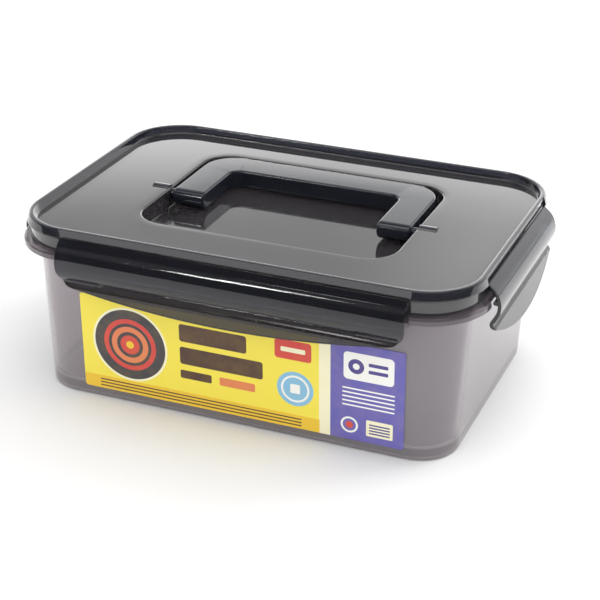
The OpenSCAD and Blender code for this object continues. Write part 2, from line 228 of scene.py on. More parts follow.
def roundEdges(piece, width, angle, segments):
    cleanMesh(piece)
    edge = piece.modifiers.new("edge", "BEVEL")
    edge.width = width * mm
    edge.segments = segments
    edge.limit_method = "ANGLE"
    edge.angle_limit = radians(angle)
    edge.use_clamp_overlap = False
    bpy.ops.object.modifier_apply(modifier=edge.name)


def finishMesh(piece, angle=35):
    # smooths the shading without bending the flats
    cleanMesh(piece)
    cuts = piece.modifiers.new("cuts", "TRIANGULATE")
    cuts.min_vertices = 5
    bpy.ops.object.modifier_apply(modifier=cuts.name)
    bpy.ops.object.shade_smooth_by_angle(angle=radians(angle))
    weight = piece.modifiers.new("weight", "WEIGHTED_NORMAL")
    weight.keep_sharp = True
    bpy.ops.object.modifier_apply(modifier=weight.name)


def fitPiece(piece, body, node, material):
    # gives the piece its finish and the body that it rides on, and hides the node that it stands for
    settle(piece)
    piece.data.materials.clear()
    piece.data.materials.append(material)
    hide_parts(node)
    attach(piece, body)


# Materials

def tint(red, green, blue):
    # a colour as it is seen on screen, 0 to 255, turned into the linear values that nodes take
    return tuple((c / 255 / 12.92 if c < 11 else ((c / 255 + 0.055) / 1.055) ** 2.4)
                 for c in (red, green, blue)) + (1,)


def nodeTree(name):
    material = bpy.data.materials.new(name)
    material.use_nodes = True
    return material, material.node_tree


def addNode(tree, kind, **values):
    node = tree.nodes.new(kind)
    for key, value in values.items():
        setattr(node, key, value)
    return node


def put(tree, socket, value):
    # links an output to a socket, or sets a constant on it
    if isinstance(value, bpy.types.NodeSocket):
        tree.links.new(value, socket)
    else:
        socket.default_value = value


def calc(tree, operation, *values):
    node = addNode(tree, "ShaderNodeMath", operation=operation)
    for socket, value in zip(node.inputs, values):
        put(tree, socket, value)
    return node.outputs[0]


def remap(tree, value, low, high, newLow=0, newHigh=1):
    node = addNode(tree, "ShaderNodeMapRange", interpolation_type="SMOOTHSTEP")
    for socket, item in zip(node.inputs, (value, low, high, newLow, newHigh)):
        put(tree, socket, item)
    return node.outputs[0]


def mixColour(tree, factor, first, second):
    node = addNode(tree, "ShaderNodeMix", data_type="RGBA")
    for socket, item in zip((node.inputs[0], node.inputs[6], node.inputs[7]), (factor, first, second)):
        put(tree, socket, item)
    return node.outputs[2]


def noise(tree, vector, scale, detail=2):
    node = addNode(tree, "ShaderNodeTexNoise")
    for name, item in (("Vector", vector), ("Scale", scale), ("Detail", detail)):
        put(tree, node.inputs[name], item)
    return node.outputs[0]


def stretched(tree, vector, scale, turn):
    node = addNode(tree, "ShaderNodeMapping")
    for name, item in (("Vector", vector), ("Scale", scale), ("Rotation", turn)):
        put(tree, node.inputs[name], item)
    return node.outputs[0]


kinds = {"value": "NodeSocketFloat", "colour": "NodeSocketColor"}


def makeGroup(name, inputs, outputs):
    # an empty group with named sockets; inputs are (name, kind, starting value)
    group = bpy.data.node_groups.new(name, "ShaderNodeTree")
    for label, kind, start in inputs:
        socket = group.interface.new_socket(name=label, in_out="INPUT", socket_type=kinds[kind])
        socket.default_value = start
    for label, kind in outputs:
        group.interface.new_socket(name=label, in_out="OUTPUT", socket_type=kinds[kind])
    return group, group.nodes.new("NodeGroupInput").outputs, group.nodes.new("NodeGroupOutput").inputs


def useGroup(tree, group, **values):
    # places a group in a material; keywords are its input names with the spaces left out
    node = addNode(tree, "ShaderNodeGroup", node_tree=group)
    for socket in node.inputs:
        key = socket.name.replace(" ", "")
        if key in values:
            put(tree, socket, values[key])
    return node.outputs


# noise scales are per metre; a scratch is (stretch, turn), and each pair is where a noise starts to
# show and where it shows in full
skin = {"smudgeScale": 26, "smudgeBand": (0.45, 0.72), "rippleScale": 60,
        "scratches": (((25, 1500, 1500), (0.3, 0.2, 0.5)), ((1300, 20, 1300), (0.1, 0.4, -0.3))),
        "scratchBand": (0.74, 0.8), "scratchDepth": 0.2, "depth": 0.0004}
cloudBand = (0.3, 0.75)


def makeSkinGroup():
    # a moulded surface: smudges from handling, hairline scratches and a faint waviness
    group, given, result = makeGroup(
        "mouldedSkin",
        [("Roughness", "value", 0.1), ("Smudge", "value", 0.1), ("Scratch", "value", 0.1),
         ("Scratch Scale", "value", 1), ("Ripple", "value", 0.2)],
        [("Roughness", "value"), ("Height", "value")])
    place = addNode(group, "ShaderNodeTexCoord").outputs["Object"]
    handled = remap(group, noise(group, place, skin["smudgeScale"], 4), *skin["smudgeBand"])
    lines = []
    for scale, turn in skin["scratches"]:
        spread = addNode(group, "ShaderNodeVectorMath", operation="SCALE")
        put(group, spread.inputs[0], stretched(group, place, scale, turn))
        put(group, spread.inputs["Scale"], given["Scratch Scale"])
        lines.append(remap(group, noise(group, spread.outputs[0], 1, 0), *skin["scratchBand"]))
    scratch = calc(group, "MULTIPLY", calc(group, "MAXIMUM", *lines), given["Scratch"])
    smudge = calc(group, "MULTIPLY", handled, given["Smudge"])
    rough = calc(group, "ADD", given["Roughness"], calc(group, "ADD", smudge, scratch))
    put(group, result["Roughness"], rough)
    ripple = calc(group, "MULTIPLY", noise(group, place, skin["rippleScale"], 1), given["Ripple"])
    groove = calc(group, "MULTIPLY", scratch, skin["scratchDepth"])
    put(group, result["Height"], calc(group, "SUBTRACT", ripple, groove))
    return group


def makeCloudGroup():
    # tinted plastic, a little deeper in some places and deeper again above a height where it is thick
    group, given, result = makeGroup(
        "tintCloud", [("Colour", "colour", (1, 1, 1, 1)), ("Deep Colour", "colour", (0, 0, 0, 1)),
                      ("Amount", "value", 0.3), ("Scale", "value", 12),
                      ("Thick Colour", "colour", (1, 1, 1, 1)), ("Thick From", "value", 1),
                      ("Thick To", "value", 2)], [("Colour", "colour")])
    place = addNode(group, "ShaderNodeTexCoord").outputs["Object"]
    split = addNode(group, "ShaderNodeSeparateXYZ")
    put(group, split.inputs[0], place)
    cloud = remap(group, noise(group, place, given["Scale"], 3), *cloudBand)
    clouded = mixColour(group, calc(group, "MULTIPLY", cloud, given["Amount"]), given["Colour"],
                        given["Deep Colour"])
    thick = remap(group, split.outputs["Z"], given["Thick From"], given["Thick To"])
    put(group, result["Colour"], mixColour(group, thick, clouded, given["Thick Colour"]))
    return group


skinGroup = makeSkinGroup()
cloudGroup = makeCloudGroup()


def wearSkin(tree, shader, values, strength, distance):
    # links the moulded skin to a shader, with the bump that it makes
    surface = useGroup(tree, skinGroup, **values)
    put(tree, shader.inputs["Roughness"], surface["Roughness"])
    bump = addNode(tree, "ShaderNodeBump")
    put(tree, bump.inputs["Height"], surface["Height"])
    bump.inputs["Strength"].default_value = strength
    bump.inputs["Distance"].default_value = distance
    put(tree, shader.inputs["Normal"], bump.outputs["Normal"])


def plastic(name, look):
    # one of the moulded plastics, from its row in looks
    material, tree = nodeTree(name)
    shader = tree.nodes["Principled BSDF"]
    colour = useGroup(tree, cloudGroup, Colour=look["colour"], DeepColour=look["deep"],
                      Amount=look["cloud"], Scale=look["cloudScale"], ThickColour=look["thick"],
                      ThickFrom=look["thickBand"][0], ThickTo=look["thickBand"][1])
    put(tree, shader.inputs["Base Color"], colour["Colour"])
    wear = {name.title(): look[name] for name in ("roughness", "smudge", "scratch", "ripple")}
    wearSkin(tree, shader, wear, look["bump"], skin["depth"])
    shader.inputs["IOR"].default_value = look["ior"]
    shader.inputs["Transmission Weight"].default_value = look["clear"]
    shader.inputs["Coat Weight"].default_value = look["coat"]
    shader.inputs["Coat Roughness"].default_value = look["coatRough"]
    return material


# thickBand is the height in metres over which a plastic turns into its thick colour
noBand = (1, 2)  # above everything
looks = {
    "tub": {"colour": (0.64, 0.59, 0.615, 1), "deep": (0.55, 0.505, 0.545, 1), "cloud": 0.5,
            "cloudScale": 9, "thick": (0.24, 0.21, 0.23, 1), "thickBand": (0.0715, 0.074),
            "roughness": 0.1, "smudge": 0.05, "scratch": 0.02, "ripple": 0.4, "bump": 0.025,
            "ior": 1.49, "clear": 0.76, "coat": 0.3, "coatRough": 0.05},
    "lid": {"colour": (0.085, 0.08, 0.085, 1), "deep": (0.06, 0.057, 0.062, 1), "cloud": 0.5,
            "cloudScale": 14, "thick": (0.04, 0.042, 0.058, 1), "thickBand": (0.0848, 0.0852),
            "roughness": 0.04, "smudge": 0.04, "scratch": 0.02, "ripple": 0.3, "bump": 0.02, "ior": 1.5,
            "clear": 0.65, "coat": 1, "coatRough": 0.02},
    "latch": {"colour": (0.105, 0.094, 0.098, 1), "deep": (0.08, 0.072, 0.076, 1), "cloud": 0.5,
              "cloudScale": 20, "thick": (0.052, 0.056, 0.076, 1), "thickBand": (0.0635, 0.0665),
              "roughness": 0.04, "smudge": 0.05, "scratch": 0.03, "ripple": 0.3, "bump": 0.03,
              "ior": 1.5, "clear": 0.9, "coat": 0.3, "coatRough": 0.03},
    "handle": {"colour": (0.013, 0.016, 0.024, 1), "deep": (0.008, 0.009, 0.013, 1), "cloud": 0.6,
               "cloudScale": 25, "thick": (0.012, 0.014, 0.02, 1), "thickBand": noBand,
               "roughness": 0.16, "smudge": 0.1, "scratch": 0.08, "ripple": 0.3, "bump": 0.06,
               "ior": 1.5, "clear": 0, "coat": 0.6, "coatRough": 0.05},
    "seal": {"colour": (0.62, 0.61, 0.58, 1), "deep": (0.5, 0.49, 0.46, 1), "cloud": 0.5,
             "cloudScale": 40, "thick": (0.62, 0.61, 0.58, 1), "thickBand": noBand,
             "roughness": 0.5, "smudge": 0.15, "scratch": 0, "ripple": 0.6, "bump": 0.2,
             "ior": 1.42, "clear": 0.15, "coat": 0, "coatRough": 0.1},
    # bore: a pale colour on the bores' faces, a painted reflection of bright surroundings seen through the
    # lid
    "bore": {"colour": (0.8, 0.8, 0.8, 1), "deep": (0.62, 0.62, 0.63, 1), "cloud": 0.5, "cloudScale": 60,
             "thick": (0.7, 0.7, 0.7, 1), "thickBand": noBand, "roughness": 0.5, "smudge": 0.1,
             "scratch": 0.1, "ripple": 0.3, "bump": 0.06, "ior": 1.5, "clear": 0, "coat": 0,
             "coatRough": 0.1},
}
finish = {name: plastic(name + "Plastic", look) for name, look in looks.items()}
print("plastics made")


# The label's own artwork; lengths are millimetres across from the middle and up from the foot
softEdge = 0.04  # half the width over which a shape's edge fades
barEdge = 0.05
paper = {"amount": 0.06, "scale": 160, "skin": {"Roughness": 0.38, "Smudge": 0.1, "Scratch": 0.05,
         "Ripple": 0.8}, "bump": 0.15, "depth": 0.0002, "coat": 0.15, "coatRough": 0.2}
inks = {"yellow": tint(247, 229, 78), "cream": tint(247, 243, 208), "purple": tint(100, 95, 176),
        "deepPurple": tint(70, 62, 140), "brown": tint(78, 52, 40), "red": tint(214, 66, 62),
        "orange": tint(226, 128, 84), "blue": tint(132, 190, 224), "plate": tint(62, 60, 66),
        "white": tint(246, 246, 242), "amber": tint(240, 198, 52)}


def makeRectGroup():
    # one inside a rectangle with round corners, zero outside
    group, given, result = makeGroup(
        "rectMask", [("Across", "value", 0), ("Up", "value", 0), ("Middle X", "value", 0),
                     ("Middle Z", "value", 0), ("Half Width", "value", 1), ("Half Height", "value", 1),
                     ("Corner", "value", 0.5)], [("Mask", "value")])
    past = []
    for at, middle, half in (("Across", "Middle X", "Half Width"), ("Up", "Middle Z", "Half Height")):
        away = calc(group, "ABSOLUTE", calc(group, "SUBTRACT", given[at], given[middle]))
        limit = calc(group, "SUBTRACT", given[half], given["Corner"])
        over = calc(group, "MAXIMUM", calc(group, "SUBTRACT", away, limit), 0)
        past.append(calc(group, "MULTIPLY", over, over))
    away = calc(group, "SQRT", calc(group, "ADD", *past))
    edge = calc(group, "SUBTRACT", away, given["Corner"])
    put(group, result["Mask"], remap(group, edge, softEdge, -softEdge))
    return group


def makeRingGroup():
    # one between two radii, zero outside; an inner radius below zero gives a disc
    group, given, result = makeGroup(
        "ringMask", [("Across", "value", 0), ("Up", "value", 0), ("Middle X", "value", 0),
                     ("Middle Z", "value", 0), ("Outer", "value", 1), ("Inner", "value", -1)],
        [("Mask", "value")])
    past = []
    for at, middle in (("Across", "Middle X"), ("Up", "Middle Z")):
        away = calc(group, "SUBTRACT", given[at], given[middle])
        past.append(calc(group, "MULTIPLY", away, away))
    away = calc(group, "SQRT", calc(group, "ADD", *past))
    outside = remap(group, calc(group, "SUBTRACT", away, given["Outer"]), softEdge, -softEdge)
    inside = remap(group, calc(group, "SUBTRACT", away, given["Inner"]), -softEdge, softEdge)
    put(group, result["Mask"], calc(group, "MULTIPLY", outside, inside))
    return group


rectGroup = makeRectGroup()
ringGroup = makeRingGroup()

# each shape, (kind, ink, placing), is painted over the ones before it: rect is placed by (x, z, half
# width, half height, corner), ring by (x, z, outer radius, inner radius), where -1 gives a disc, and
# rows of bars by (x, z, half width, half height, pitch, share)
artwork = [
    ("rect", "cream", (45.5, 30, 2.8, 40, 0.1)),
    ("rect", "purple", (66.5, 30, 18.3, 40, 0.1)),
    ("rect", "amber", (-18, 8.2, 61, 4, 0.1)),
    ("ring", "cream", (-53, 32, 19.5, -1)),
    ("ring", "plate", (-53, 32, 18.4, -1)),
    ("ring", "red", (-53, 32, 13.6, 11.2)),
    ("ring", "orange", (-53, 32, 9.6, 6.8)),
    ("ring", "red", (-53, 32, 5, -1)),
    ("ring", "amber", (-53, 32, 2, -1)),
    ("rect", "brown", (-10, 44, 17, 4.6, 1.4)),
    ("rect", "brown", (-6, 32, 21, 4.6, 1.4)),
    ("rect", "brown", (-19, 22, 8, 2.2, 0.8)),
    ("rect", "orange", (2, 22, 9, 2.2, 0.8)),
    ("rect", "red", (30, 46, 9, 5, 1.6)),
    ("rect", "cream", (30, 46, 6, 1.2, 0.5)),
    ("ring", "blue", (31, 26, 9, -1)),
    ("ring", "white", (31, 26, 7, 6)),
    ("rect", "white", (31, 26, 2.4, 2.4, 0.6)),
    ("rows", "brown", (-18, 8.2, 52, 2.6, 1.7, 0.4)),
    ("rect", "white", (66.5, 44, 12, 7, 2)),
    ("ring", "deepPurple", (60.5, 44, 3.8, 1.6)),
    ("rect", "deepPurple", (71, 46, 4.6, 0.9, 0.4)),
    ("rect", "deepPurple", (71, 42.4, 4.6, 0.9, 0.4)),
    ("rows", "white", (66.5, 27.5, 12.5, 5.6, 2.2, 0.35)),
    ("ring", "white", (57.5, 13, 4.2, 3.2)),
    ("ring", "red", (57.5, 13, 1.8, -1)),
    ("rect", "cream", (72, 13, 6.4, 4.2, 0.6)),
    ("rows", "deepPurple", (72, 13, 5, 3, 1.5, 0.5)),
]


def paintShape(tree, across, up, shape, place):
    x, z, first, second = place[:4]
    if shape == "ring":
        return useGroup(tree, ringGroup, Across=across, Up=up, MiddleX=x, MiddleZ=z, Outer=first,
                        Inner=second)["Mask"]
    corner = place[4] if shape == "rect" else 0.1
    mask = useGroup(tree, rectGroup, Across=across, Up=up, MiddleX=x, MiddleZ=z, HalfWidth=first,
                    HalfHeight=second, Corner=corner)["Mask"]
    if shape == "rect":
        return mask
    step = calc(tree, "WRAP", calc(tree, "SUBTRACT", up, z), place[4], 0)
    bar = remap(tree, step, place[4] * place[5] + barEdge, place[4] * place[5] - barEdge)
    return calc(tree, "MULTIPLY", mask, bar)


def makeFilm():
    # printed film: flat inks under a thin varnish, with a fine print grain
    material, tree = nodeTree("labelFilm")
    shader = tree.nodes["Principled BSDF"]
    place = addNode(tree, "ShaderNodeTexCoord").outputs["Object"]
    split = addNode(tree, "ShaderNodeSeparateXYZ")
    put(tree, split.inputs[0], place)
    across = calc(tree, "MULTIPLY", split.outputs["X"], 1 / mm)
    up = calc(tree, "MULTIPLY", split.outputs["Z"], 1 / mm)
    colour = inks["yellow"]
    for shape, ink, placing in artwork:
        colour = mixColour(tree, paintShape(tree, across, up, shape, placing), colour, inks[ink])
    clouded = useGroup(tree, cloudGroup, Colour=colour, DeepColour=inks["amber"],
                       Amount=paper["amount"], Scale=paper["scale"])
    put(tree, shader.inputs["Base Color"], clouded["Colour"])
    wearSkin(tree, shader, paper["skin"], paper["bump"], paper["depth"])
    shader.inputs["Coat Weight"].default_value = paper["coat"]
    shader.inputs["Coat Roughness"].default_value = paper["coatRough"]
    return material


finish["label"] = makeFilm()
print("label artwork made")


# Lid: heights are from the foot, the others distances out from a core
shell = {"height": 88.5, "panel": 84.5, "channel": 82.5, "step": 84.3, "flare": 29.2, "skirt": 27.5,
         "skirtIn": 25.6, "skirtLow": 77.2, "plug": 20.8, "plugIn": 19.2, "plugLow": 77.5,
         "wellFloor": 75.1, "wellSheet": 1, "wall": 2, "topEnd": 17, "underEnd": 15, "panelEnd": 24.7,
         "lipIn": 25.5, "skirtDrop": 1.2, "wellRim": 5, "wellFloorEnd": -6}
pivot = {"y": -0.5, "z": 81.5, "pin": 2.4, "bore": 2.7, "boss": 4.1, "boreEnd": 72.2, "bossEnd": 73.6,
         "boreStart": 60, "bossStart": 65}
# the hinge line's place out from the lip and below its top, its bead and groove, and the flat beside it
hinge = {"out": 0.6, "drop": 4.9, "bead": 0.8, "groove": 1.1, "flush": 0.2, "endGap": 1,
         "cutOut": 3, "cutTop": 2}


def distanceFrom(p, halfX, halfY, shift=0):
    # how far a point lies out from a core rectangle
    return sqrt(max(abs(p.x) - halfX, 0) ** 2 + max(abs(p.y - shift) - halfY, 0) ** 2)


nowhere = -1  # a distance that no point has


def onLoop(p, level, fromCore, fromWell):
    # whether a point lies on the rim's or the well's open end at one level
    onRim = abs(distanceFrom(p, core["x"], core["y"]) - fromCore) < near
    fromWellCore = distanceFrom(p, wellCore["x"], wellCore["y"], wellCore["shift"])
    return abs(p.z - level) < near and (onRim or abs(fromWellCore - fromWell) < near)


def makeLidShell():
    s = shell
    rim = roundCorners([
        (s["topEnd"], s["panel"], 0), (s["panelEnd"], s["panel"], 0.8), (s["lipIn"], s["height"], 0.9),
        (core["lip"], s["height"], 1), (s["flare"], s["step"], 0.35),
        (s["skirt"], s["step"] - s["skirtDrop"], 0.3),
        (s["skirt"], s["skirtLow"], 0.4), (s["skirtIn"], s["skirtLow"], 0.4),
        (s["skirtIn"], s["channel"], 0.3), (s["plug"], s["channel"], 0.3), (s["plug"], s["plugLow"], 0.6),
        (s["plugIn"], s["plugLow"], 0.6), (s["plugIn"], s["channel"], 0.5),
        (s["underEnd"], s["channel"], 0)], closed=False)
    r, floor = wellCore["r"], s["wellFloor"]
    under, wallOut = floor - s["wellSheet"], r + s["wall"]
    start, end = r + s["wellRim"], r + s["wellFloorEnd"]
    wellTop = roundCorners([(start, s["panel"], 0), (r, s["panel"], 1), (r, floor, 1.2),
                            (end, floor, 0)], closed=False)
    wellUnder = roundCorners([(start, s["channel"], 0), (wallOut, s["channel"], 0.6),
                              (wallOut, under, 1.5), (end, under, 0)], closed=False)
    place = (wellCore["x"], wellCore["y"], wellCore["shift"])
    lid = carryRound("lidShell", rim, core["x"], core["y"])
    joinPieces(lid, carryRound("wellTop", wellTop, *place), carryRound("wellUnder", wellUnder, *place))
    for level, rimEnd in ((s["panel"], s["topEnd"]), (s["channel"], s["underEnd"])):
        pick(lid, "EDGE", lambda p: onLoop(p, level, rimEnd, start))  # flat sheet from rim to well
        bpy.ops.mesh.fill(use_beauty=True)
    for level in (floor, under):  # floor of the well
        pick(lid, "EDGE", lambda p: onLoop(p, level, nowhere, end))
        bpy.ops.mesh.edge_face_add()
    bpy.ops.mesh.select_all(action="SELECT")
    bpy.ops.mesh.normals_make_consistent(inside=False)
    bpy.ops.object.mode_set(mode="OBJECT")
    return lid


def paintBoreReflections(lid):
    # the bores' faces are coloured pale, a painted reflection of bright surroundings, and show through the
    # lid as pale marks beside the handle
    lid.data.materials.append(finish["bore"])
    for face in lid.data.polygons:
        spots = [lid.data.vertices[i].co / mm for i in face.vertices]
        reach = max(Vector((p.y - pivot["y"], p.z - pivot["z"])).length for p in spots)
        if reach < pivot["bore"] + near:
            face.material_index = 1


def makeLid():
    lid = makeLidShell()
    for way in (-1, 1):  # bosses and bores for the handle's pins
        at = lambda x: (way * x, pivot["y"], pivot["z"])
        cutWith(lid, rod(pivot["boss"], at(pivot["bossStart"]), at(pivot["bossEnd"])), "UNION")
        cutWith(lid, rod(pivot["bore"], at(pivot["boreStart"]), at(pivot["boreEnd"])), "DIFFERENCE")
    for side in sides:
        half = sides[side][1] + hinge["endGap"]
        flat = block((-hinge["flush"], -half, -hinge["drop"]), (hinge["cutOut"], half, hinge["cutTop"]))
        cutWith(lid, turnToSide(flat, side), "DIFFERENCE")
        groove = rod(hinge["groove"], (hinge["out"], -half, -hinge["drop"]),
                     (hinge["out"], half, -hinge["drop"]))
        cutWith(lid, turnToSide(groove, side), "DIFFERENCE")
    finishMesh(lid)
    fitPiece(lid, "lid_body", "lid", finish["lid"])
    paintBoreReflections(lid)


makeLid()
print("lid made")


# Tub
tub = {"footEnd": 10, "floorEnd": 8, "foot": 1.5, "footIn": 17, "base": 20, "baseEdge": 0.1,
       "floor": 3.7, "wallTop": 23.3, "wall": 2, "fillet": 6, "flangeLow": 73.4, "flangeTop": 76.9,
       "flangeSheet": 75.1, "flange": 31, "flangeWall": 1.8, "rim": 80, "catch": 1, "catchDeep": 5,
       "railDrop": 0.9}


def makeTub():
    t = tub
    section = roundCorners([
        (t["footEnd"], t["foot"], 0), (t["footIn"], t["foot"], 0.5), (t["footIn"], 0, 0.5),
        (t["base"] - t["baseEdge"], 0, 1.5),
        (t["wallTop"], t["flangeSheet"], 0.8), (t["flange"] - t["flangeWall"], t["flangeSheet"], 0.6),
        (t["flange"] - t["flangeWall"], t["flangeLow"], 0.5), (t["flange"], t["flangeLow"], 0.6),
        (t["flange"], t["flangeTop"], 1.2), (t["wallTop"], t["flangeTop"], 0.6),
        (t["wallTop"], t["rim"], 0.8), (t["wallTop"] - t["wall"], t["rim"], 0.8),
        (t["wallTop"] - t["wall"], t["flangeLow"], 0), (t["base"] - t["wall"], t["floor"], t["fillet"]),
        (t["floorEnd"], t["floor"], 0)], closed=False)
    piece = carryRound("tubShell", section, core["x"], core["y"])
    for level, end in ((t["foot"], t["footEnd"]), (t["floor"], t["floorEnd"])):
        pick(piece, "EDGE", lambda p: onLoop(p, level, end, nowhere))
        bpy.ops.mesh.edge_face_add()
    bpy.ops.mesh.select_all(action="SELECT")
    bpy.ops.mesh.normals_make_consistent(inside=False)
    low, high = t["flangeLow"] - shell["height"], t["flangeTop"] - shell["height"]
    for side in sides:
        half = sides[side][1] + hinge["endGap"]
        notch = block((t["catch"], -half, low - 1), (t["catch"] + t["catchDeep"], half, high + 1))
        cutWith(piece, turnToSide(notch, side), "DIFFERENCE")
        rail = block((t["catch"] - t["flangeWall"], -half, low), (t["catch"], half, high - t["railDrop"]))
        cutWith(piece, turnToSide(rail, side), "UNION")
    finishMesh(piece)
    fitPiece(piece, "tub_body", "tub", finish["tub"])


makeTub()
print("tub made")


# Latches: each is drawn as the right one, X out from the lip and Z down from its top, then turned
# to its side; turns are degrees up from level
latch = {"faceR": 11.98, "wall": 1.7, "topTurn": 44, "lowTurn": -40, "creaseR": 1.5, "flareTurn": -45,
         "flare": 0.6, "shoulderR": 2, "lean": 13, "lowest": 37.5, "recessR": 1.3, "recessOut": 8.5,
         "recessTop": -20.3, "recessLow": 33, "beadR": 1, "catchEnd": 8, "pad": 18.5, "edge": 0.25,
         "beadTurns": (228, 50), "recessTurns": (90, 216), "backTurns": (95, 228), "backRise": 25,
         "insideRise": 16, "catchRoot": 0.9, "trimIn": -5, "trimDeep": 30, "reach": 40, "past": 0.1}
faceMiddle = Vector((-4.85, -14.9))
recessMiddle = Vector((4.3, -22.4))
catchMiddle = Vector((2.3, -16.7))
faceSteps = 32
# how far the lower edge hangs at its ends and in its middle, its corners' radius and the recess's slant
longShape = (26.5, 32.1, 9, 5)
shortShape = (27, 36.5, 3, 12)
latchShapes = {"front": longShape, "back": longShape, "left": shortShape, "right": shortShape}


def spot(middle, radius, degrees):
    turn = radians(degrees)
    return Vector((middle[0] + radius * cos(turn), middle[1] + radius * sin(turn)))


def arcPoints(middle, radius, start, end, steps):
    return [spot(middle, radius, start + (end - start) * k / steps) for k in range(steps + 1)]


creaseMiddle = spot(faceMiddle, latch["faceR"] + latch["creaseR"], latch["lowTurn"])
flareTop = spot(creaseMiddle, latch["creaseR"], latch["flareTurn"] - 90)
flareEnd = spot(flareTop, latch["flare"], latch["flareTurn"])
shoulderMiddle = spot(flareEnd, -latch["shoulderR"], latch["flareTurn"] + 90)


def latchSection():
    # from the hinge bead down the face, the crease and the shoulder to the lip, and back inside
    bead = (hinge["out"], -hinge["drop"])
    wall, lean, turn = latch["wall"], latch["lean"], latch["flareTurn"]
    lipTop = spot(shoulderMiddle, latch["shoulderR"], lean)
    lipLow = lipTop.x + (lipTop.y + latch["lowest"]) * tan(radians(lean))
    outside = arcPoints(bead, hinge["bead"], *latch["beadTurns"], 10)
    outside += arcPoints(faceMiddle, latch["faceR"], latch["topTurn"], latch["lowTurn"], faceSteps)
    outside += arcPoints(creaseMiddle, latch["creaseR"], 180 + latch["lowTurn"], 270 + turn, 8)[1:]
    outside += arcPoints(shoulderMiddle, latch["shoulderR"], turn + 90, lean, 5)
    outside += [(lipLow, -latch["lowest"]), (lipLow - wall / cos(radians(lean)), -latch["lowest"])]
    inside = [spot(shoulderMiddle, latch["shoulderR"] - wall, lean + latch["insideRise"])]
    inside += arcPoints(creaseMiddle, latch["creaseR"] + wall, 270 + turn, 180 + latch["lowTurn"], 10)
    innerFace = arcPoints(faceMiddle, latch["faceR"] - wall, latch["lowTurn"], latch["topTurn"], faceSteps)
    inside += innerFace[1:]
    return outside + inside


def catchSection():
    # bead inside the latch that clips in below the flange
    root = faceMiddle.x + latch["faceR"] - latch["catchRoot"]
    low, high = catchMiddle.y - latch["beadR"], catchMiddle.y + latch["beadR"]
    return [(root, high)] + arcPoints(catchMiddle, latch["beadR"], 90, 270, 12) + [(root, low)]


def recessSection():
    # the room taken out between the face and the shoulder
    arc = arcPoints(recessMiddle, latch["recessR"], *latch["recessTurns"], 7)
    low = spot(shoulderMiddle, latch["shoulderR"], latch["recessLow"])
    return arc + [low, (latch["recessOut"], low.y), (latch["recessOut"], latch["recessTop"])]


def recessBack():
    # the wall that closes the latch behind its recess
    middle = latch["wall"] / 2
    arc = arcPoints(recessMiddle, latch["recessR"] + latch["wall"], *latch["backTurns"], 9)
    low = [spot(shoulderMiddle, latch["shoulderR"] - middle, latch["lean"]),
           spot(creaseMiddle, latch["creaseR"] + middle, 270 + latch["flareTurn"]),
           spot(creaseMiddle, latch["creaseR"] + middle, 180)]
    turn = latch["lowTurn"]
    return arc + low + arcPoints(faceMiddle, latch["faceR"] - middle, turn, turn + latch["backRise"], 3)


def latchOutline(half, dropEnd, dropMid, corner):
    # lower edge seen from outside: round corners and a shallow arc between them
    flat, rise = half - corner, dropMid - dropEnd
    radius = (flat * flat + rise * rise) / (2 * rise)
    swing = atan2(flat, radius - rise) * 180 / pi
    line = [(-half, 2)] + arcPoints((-flat, corner - dropEnd), corner, 180, 270, 8)
    line += arcPoints((0, radius - dropMid), radius, 270 - swing, 270 + swing, faceSteps)[1:]
    line += arcPoints((flat, corner - dropEnd), corner, 270, 360, 8)[1:]
    return line + [(half, 2)]


def pulledOut(name, points, step):
    # a closed outline pulled out into a solid
    piece = drawLine(name, points, True)
    editMode("FACE")
    bpy.ops.mesh.select_all(action="SELECT")
    bpy.ops.mesh.extrude_region_move(TRANSFORM_OT_translate={"value": Vector(step) * mm})
    bpy.ops.mesh.select_all(action="SELECT")
    bpy.ops.mesh.normals_make_consistent(inside=False)
    bpy.ops.object.mode_set(mode="OBJECT")
    return piece


def alongRim(name, section, half):
    return pulledOut(name, [(x, -half, z) for x, z in section], (0, 2 * half, 0))


def makeLatch(side):
    dropEnd, dropMid, corner, slant = latchShapes[side]
    half = sides[side][1]
    mid = half - latch["pad"]
    piece = alongRim("latch" + side.title(), latchSection(), half)
    outline = latchOutline(half + 0.001, dropEnd, dropMid, corner)  # just past the section's ends
    trim = pulledOut("trim", [(latch["trimIn"], y, z) for y, z in outline], (latch["trimDeep"], 0, 0))
    cutWith(piece, trim, "INTERSECT")
    roundEdges(piece, latch["edge"], 40, 2)
    cutWith(piece, alongRim("catch", catchSection(), half - latch["catchEnd"]), "UNION")
    cutWith(piece, alongRim("recessBack", recessBack(), mid), "UNION")
    deepest = recessMiddle.x - latch["recessR"] - latch["past"]
    out = latch["recessOut"] + latch["past"]
    plan = [(deepest, slant - mid), (out, -mid), (out, mid), (deepest, mid - slant)]
    reach = latch["reach"]
    recess = alongRim("recess", recessSection(), half)
    cutWith(recess, pulledOut("plan", [(x, y, -reach) for x, y in plan], (0, 0, reach)), "INTERSECT")
    cutWith(piece, recess, "DIFFERENCE")
    finishMesh(piece, 40)
    turnToSide(piece, side)
    name = "latch_" + side
    fitPiece(piece, name + "_body", name, finish["latch"])


for side in sides:
    makeLatch(side)
print("latches made")


# Handle
grip = {"armX": 61.7, "armWidth": 16.8, "back": 49.8, "width": 18.1, "front": -5.6, "low": 76.5,
        "high": 85.3, "corner": 16, "innerCorner": 5.5, "endR": 5.1, "endTaper": 0.3,
        "endSlope": (2.6, 1.7), "edge": 1.3, "shell": 2.4, "pinEnd": 71.9, "trimX": 70,
        "trimLow": 0.9, "margin": 3}


